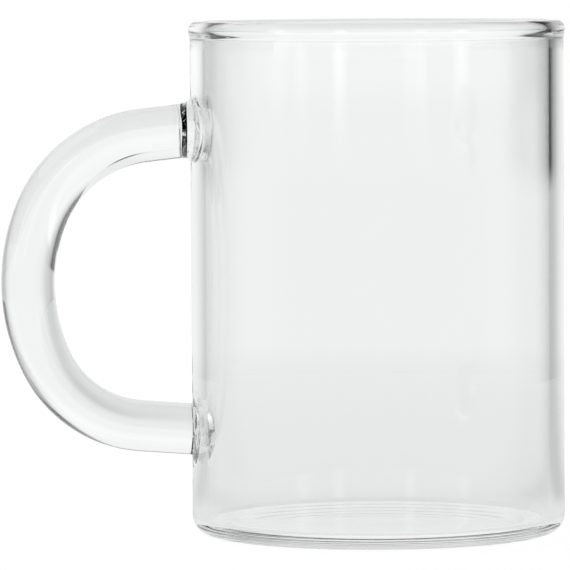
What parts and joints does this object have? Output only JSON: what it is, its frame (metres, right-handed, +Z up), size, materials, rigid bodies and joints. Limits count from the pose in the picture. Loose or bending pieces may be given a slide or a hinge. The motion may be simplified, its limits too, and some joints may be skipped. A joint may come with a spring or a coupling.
{
  "type": "glass mug",
  "caption": "Straight-sided clear glass mug with a rounded heel, a fire-polished rim and a C-shaped solid rod handle fused to the wall, for a short milk coffee.",
  "frame": {"origin": "on the body's axis, in the plane that the mug stands on", "axes": "+Z up along the body's axis; the handle points along -X"},
  "size_m": [0.0908, 0.0604, 0.0824],
  "materials": {
    "body_glass": "clear drawn borosilicate glass, fire-polished",
    "rod_glass": "clear solid borosilicate rod, drawn and flame-bent",
    "seal_glass": "clear borosilicate glass, melted and fused"
  },
  "bodies": {
    "root": {"cup_body": "body_glass", "handle_rod": "rod_glass", "upper_seal": "seal_glass", "lower_seal": "seal_glass"}
  },
  "joints": []
}
